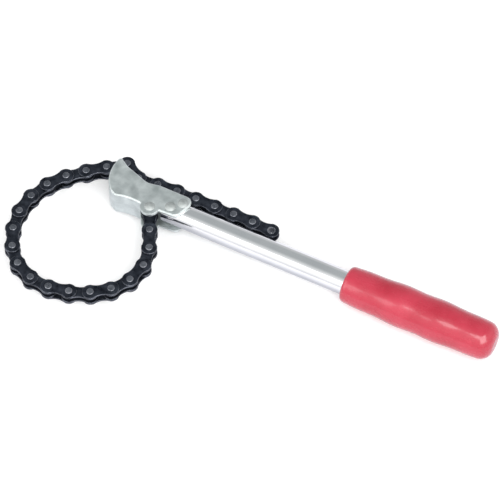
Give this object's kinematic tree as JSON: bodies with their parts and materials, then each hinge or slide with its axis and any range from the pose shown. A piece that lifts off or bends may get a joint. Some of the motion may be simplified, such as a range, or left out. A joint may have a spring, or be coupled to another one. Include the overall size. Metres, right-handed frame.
{
  "type": "chain strap wrench",
  "caption": "Chain-type strap wrench: link chain loop on a pressed steel head, chromed tube handle and moulded grip.",
  "frame": {"origin": "on the lower cheek's flat outer face, under the handle tube's centre line, midway between the two handle rivets in the head", "axes": "+X along the handle towards the grip, +Y towards the side where the chain's free tail lies, +Z square to the plane of the chain loop"},
  "size_m": [0.2999, 0.1081, 0.0259],
  "materials": {
    "plated_head": "satin zinc plate",
    "chrome": "polished",
    "rivet_steel": "satin",
    "red_grip": "gloss",
    "chain_plate": "oiled black",
    "chain_pin": "oiled dark steel"
  },
  "bodies": {
    "handle_and_head": {"head_channel": "plated_head", "handle_tube": "chrome", "handle_rivets": "rivet_steel", "grip": "red_grip", "anchor_rivet": "rivet_steel", "anchor_spacers": "rivet_steel"},
    "link_01": {"link_01_inner_plates": "chain_plate", "link_01_bushes": "chain_pin"},
    "link_02": {"link_02_outer_plates": "chain_plate", "link_02_pins": "chain_pin"},
    "link_03": {"link_03_inner_plates": "chain_plate", "link_03_bushes": "chain_pin"},
    "link_04": {"link_04_outer_plates": "chain_plate", "link_04_pins": "chain_pin"},
    "link_05": {"link_05_inner_plates": "chain_plate", "link_05_bushes": "chain_pin"},
    "link_06": {"link_06_outer_plates": "chain_plate", "link_06_pins": "chain_pin"},
    "link_07": {"link_07_inner_plates": "chain_plate", "link_07_bushes": "chain_pin"},
    "link_08": {"link_08_outer_plates": "chain_plate", "link_08_pins": "chain_pin"},
    "link_09": {"link_09_inner_plates": "chain_plate", "link_09_bushes": "chain_pin"},
    "link_10": {"link_10_outer_plates": "chain_plate", "link_10_pins": "chain_pin"},
    "link_11": {"link_11_inner_plates": "chain_plate", "link_11_bushes": "chain_pin"},
    "link_12": {"link_12_outer_plates": "chain_plate", "link_12_pins": "chain_pin"},
    "link_13": {"link_13_inner_plates": "chain_plate", "link_13_bushes": "chain_pin"},
    "link_14": {"link_14_outer_plates": "chain_plate", "link_14_pins": "chain_pin"},
    "link_15": {"link_15_inner_plates": "chain_plate", "link_15_bushes": "chain_pin"},
    "link_16": {"link_16_outer_plates": "chain_plate", "link_16_pins": "chain_pin"},
    "link_17": {"link_17_inner_plates": "chain_plate", "link_17_bushes": "chain_pin"},
    "link_18": {"link_18_outer_plates": "chain_plate", "link_18_pins": "chain_pin"},
    "link_19": {"link_19_inner_plates": "chain_plate", "link_19_bushes": "chain_pin"},
    "link_20": {"link_20_outer_plates": "chain_plate", "link_20_pins": "chain_pin"},
    "link_21": {"link_21_inner_plates": "chain_plate", "link_21_bushes": "chain_pin"},
    "link_22": {"link_22_outer_plates": "chain_plate", "link_22_pins": "chain_pin"},
    "link_23": {"link_23_inner_plates": "chain_plate", "link_23_bushes": "chain_pin"},
    "link_24": {"link_24_outer_plates": "chain_plate", "link_24_pins": "chain_pin"},
    "link_25": {"link_25_inner_plates": "chain_plate", "link_25_bushes": "chain_pin"},
    "link_26": {"link_26_outer_plates": "chain_plate", "link_26_pins": "chain_pin"},
    "link_27": {"link_27_inner_plates": "chain_plate", "link_27_bushes": "chain_pin"}
  },
  "joints": [
    {"name": "anchor_pivot", "type": "hinge", "parent": "handle_and_head", "child": "link_01", "pos_m": [-0.0143, -0.008, 0.00955], "axis": [0, 0, 1], "range_deg": [-16, 0]},
    {"name": "pivot_02", "type": "hinge", "parent": "link_01", "child": "link_02", "pos_m": [-0.00873, -0.01941, 0.00955], "axis": [0, 0, 1], "range_deg": [-5, 0]},
    {"name": "pivot_03", "type": "hinge", "parent": "link_02", "child": "link_03", "pos_m": [-0.00317, -0.03083, 0.00955], "axis": [0, 0, 1], "range_deg": [-5, 0]},
    {"name": "pivot_04", "type": "hinge", "parent": "link_03", "child": "link_04", "pos_m": [-0.00074, -0.0433, 0.00955], "axis": [0, 0, 1], "range_deg": [-5, 0]},
    {"name": "pivot_05", "type": "hinge", "parent": "link_04", "child": "link_05", "pos_m": [-0.00338, -0.05572, 0.00955], "axis": [0, 0, 1], "range_deg": [-5, 0]},
    {"name": "pivot_06", "type": "hinge", "parent": "link_05", "child": "link_06", "pos_m": [-0.01048, -0.06625, 0.00955], "axis": [0, 0, 1], "range_deg": [-5, 0]},
    {"name": "pivot_07", "type": "hinge", "parent": "link_06", "child": "link_07", "pos_m": [-0.02063, -0.07389, 0.00955], "axis": [0, 0, 1], "range_deg": [-5, 0]},
    {"name": "pivot_08", "type": "hinge", "parent": "link_07", "child": "link_08", "pos_m": [-0.03232, -0.07885, 0.00955], "axis": [0, 0, 1], "range_deg": [-5, 0]},
    {"name": "pivot_09", "type": "hinge", "parent": "link_08", "child": "link_09", "pos_m": [-0.04478, -0.08128, 0.00955], "axis": [0, 0, 1], "range_deg": [-5, 0]},
    {"name": "pivot_10", "type": "hinge", "parent": "link_09", "child": "link_10", "pos_m": [-0.05744, -0.08017, 0.00955], "axis": [0, 0, 1], "range_deg": [-5, 0]},
    {"name": "pivot_11", "type": "hinge", "parent": "link_10", "child": "link_11", "pos_m": [-0.06895, -0.0748, 0.00955], "axis": [0, 0, 1], "range_deg": [0, 13]},
    {"name": "pivot_12", "type": "hinge", "parent": "link_11", "child": "link_12", "pos_m": [-0.07761, -0.06551, 0.00955], "axis": [0, 0, 1], "range_deg": [0, 13]},
    {"name": "pivot_13", "type": "hinge", "parent": "link_12", "child": "link_13", "pos_m": [-0.08317, -0.0541, 0.00955], "axis": [0, 0, 1], "range_deg": [0, 13]},
    {"name": "pivot_14", "type": "hinge", "parent": "link_13", "child": "link_14", "pos_m": [-0.0856, -0.04163, 0.00955], "axis": [0, 0, 1], "range_deg": [0, 13]},
    {"name": "pivot_15", "type": "hinge", "parent": "link_14", "child": "link_15", "pos_m": [-0.08427, -0.029, 0.00955], "axis": [0, 0, 1], "range_deg": [0, 13]},
    {"name": "pivot_16", "type": "hinge", "parent": "link_15", "child": "link_16", "pos_m": [-0.07951, -0.01723, 0.00955], "axis": [0, 0, 1], "range_deg": [0, 13]},
    {"name": "pivot_17", "type": "hinge", "parent": "link_16", "child": "link_17", "pos_m": [-0.07205, -0.00695, 0.00955], "axis": [0, 0, 1], "range_deg": [0, 13]},
    {"name": "pivot_18", "type": "hinge", "parent": "link_17", "child": "link_18", "pos_m": [-0.06276, 0.00171, 0.00955], "axis": [0, 0, 1], "range_deg": [0, 13]},
    {"name": "pivot_19", "type": "hinge", "parent": "link_18", "child": "link_19", "pos_m": [-0.05275, 0.00953, 0.00955], "axis": [0, 0, 1], "range_deg": [0, 8]},
    {"name": "nose_pivot", "type": "hinge", "parent": "link_19", "child": "link_20", "pos_m": [-0.04261, 0.01717, 0.00955], "axis": [0, 0, 1], "range_deg": [0, 45]},
    {"name": "pivot_21", "type": "hinge", "parent": "link_20", "child": "link_21", "pos_m": [-0.03161, 0.01082, 0.00955], "axis": [0, 0, 1], "range_deg": [0, 9]},
    {"name": "pivot_22", "type": "hinge", "parent": "link_21", "child": "link_22", "pos_m": [-0.01894, 0.01171, 0.00955], "axis": [0, 0, 1], "range_deg": [0, 9]},
    {"name": "pivot_23", "type": "hinge", "parent": "link_22", "child": "link_23", "pos_m": [-0.00627, 0.01259, 0.00955], "axis": [0, 0, 1], "range_deg": [0, 9]},
    {"name": "pivot_24", "type": "hinge", "parent": "link_23", "child": "link_24", "pos_m": [0.00643, 0.01259, 0.00955], "axis": [0, 0, 1], "range_deg": [0, 9]},
    {"name": "pivot_25", "type": "hinge", "parent": "link_24", "child": "link_25", "pos_m": [0.01913, 0.01259, 0.00955], "axis": [0, 0, 1], "range_deg": [0, 9]},
    {"name": "pivot_26", "type": "hinge", "parent": "link_25", "child": "link_26", "pos_m": [0.03183, 0.01259, 0.00955], "axis": [0, 0, 1], "range_deg": [0, 9]},
    {"name": "pivot_27", "type": "hinge", "parent": "link_26", "child": "link_27", "pos_m": [0.04453, 0.01259, 0.00955], "axis": [0, 0, 1], "range_deg": [0, 9]}
  ],
  "couplings": [
    {"joint": "pivot_02", "follows": "anchor_pivot", "ratio": 0.3125},
    {"joint": "pivot_03", "follows": "anchor_pivot", "ratio": 0.3125},
    {"joint": "pivot_04", "follows": "anchor_pivot", "ratio": 0.3125},
    {"joint": "pivot_05", "follows": "anchor_pivot", "ratio": 0.3125},
    {"joint": "pivot_06", "follows": "anchor_pivot", "ratio": 0.3125},
    {"joint": "pivot_07", "follows": "anchor_pivot", "ratio": 0.3125},
    {"joint": "pivot_08", "follows": "anchor_pivot", "ratio": 0.3125},
    {"joint": "pivot_09", "follows": "anchor_pivot", "ratio": 0.3125},
    {"joint": "pivot_10", "follows": "anchor_pivot", "ratio": 0.3125},
    {"joint": "pivot_11", "follows": "anchor_pivot", "ratio": -0.8125},
    {"joint": "pivot_12", "follows": "anchor_pivot", "ratio": -0.8125},
    {"joint": "pivot_13", "follows": "anchor_pivot", "ratio": -0.8125},
    {"joint": "pivot_14", "follows": "anchor_pivot", "ratio": -0.8125},
    {"joint": "pivot_15", "follows": "anchor_pivot", "ratio": -0.8125},
    {"joint": "pivot_16", "follows": "anchor_pivot", "ratio": -0.8125},
    {"joint": "pivot_17", "follows": "anchor_pivot", "ratio": -0.8125},
    {"joint": "pivot_18", "follows": "anchor_pivot", "ratio": -0.8125},
    {"joint": "pivot_19", "follows": "anchor_pivot", "ratio": -0.5},
    {"joint": "pivot_21", "follows": "nose_pivot", "ratio": 0.2},
    {"joint": "pivot_22", "follows": "nose_pivot", "ratio": 0.2},
    {"joint": "pivot_23", "follows": "nose_pivot", "ratio": 0.2},
    {"joint": "pivot_24", "follows": "nose_pivot", "ratio": 0.2},
    {"joint": "pivot_25", "follows": "nose_pivot", "ratio": 0.2},
    {"joint": "pivot_26", "follows": "nose_pivot", "ratio": 0.2},
    {"joint": "pivot_27", "follows": "nose_pivot", "ratio": 0.2}
  ]
}
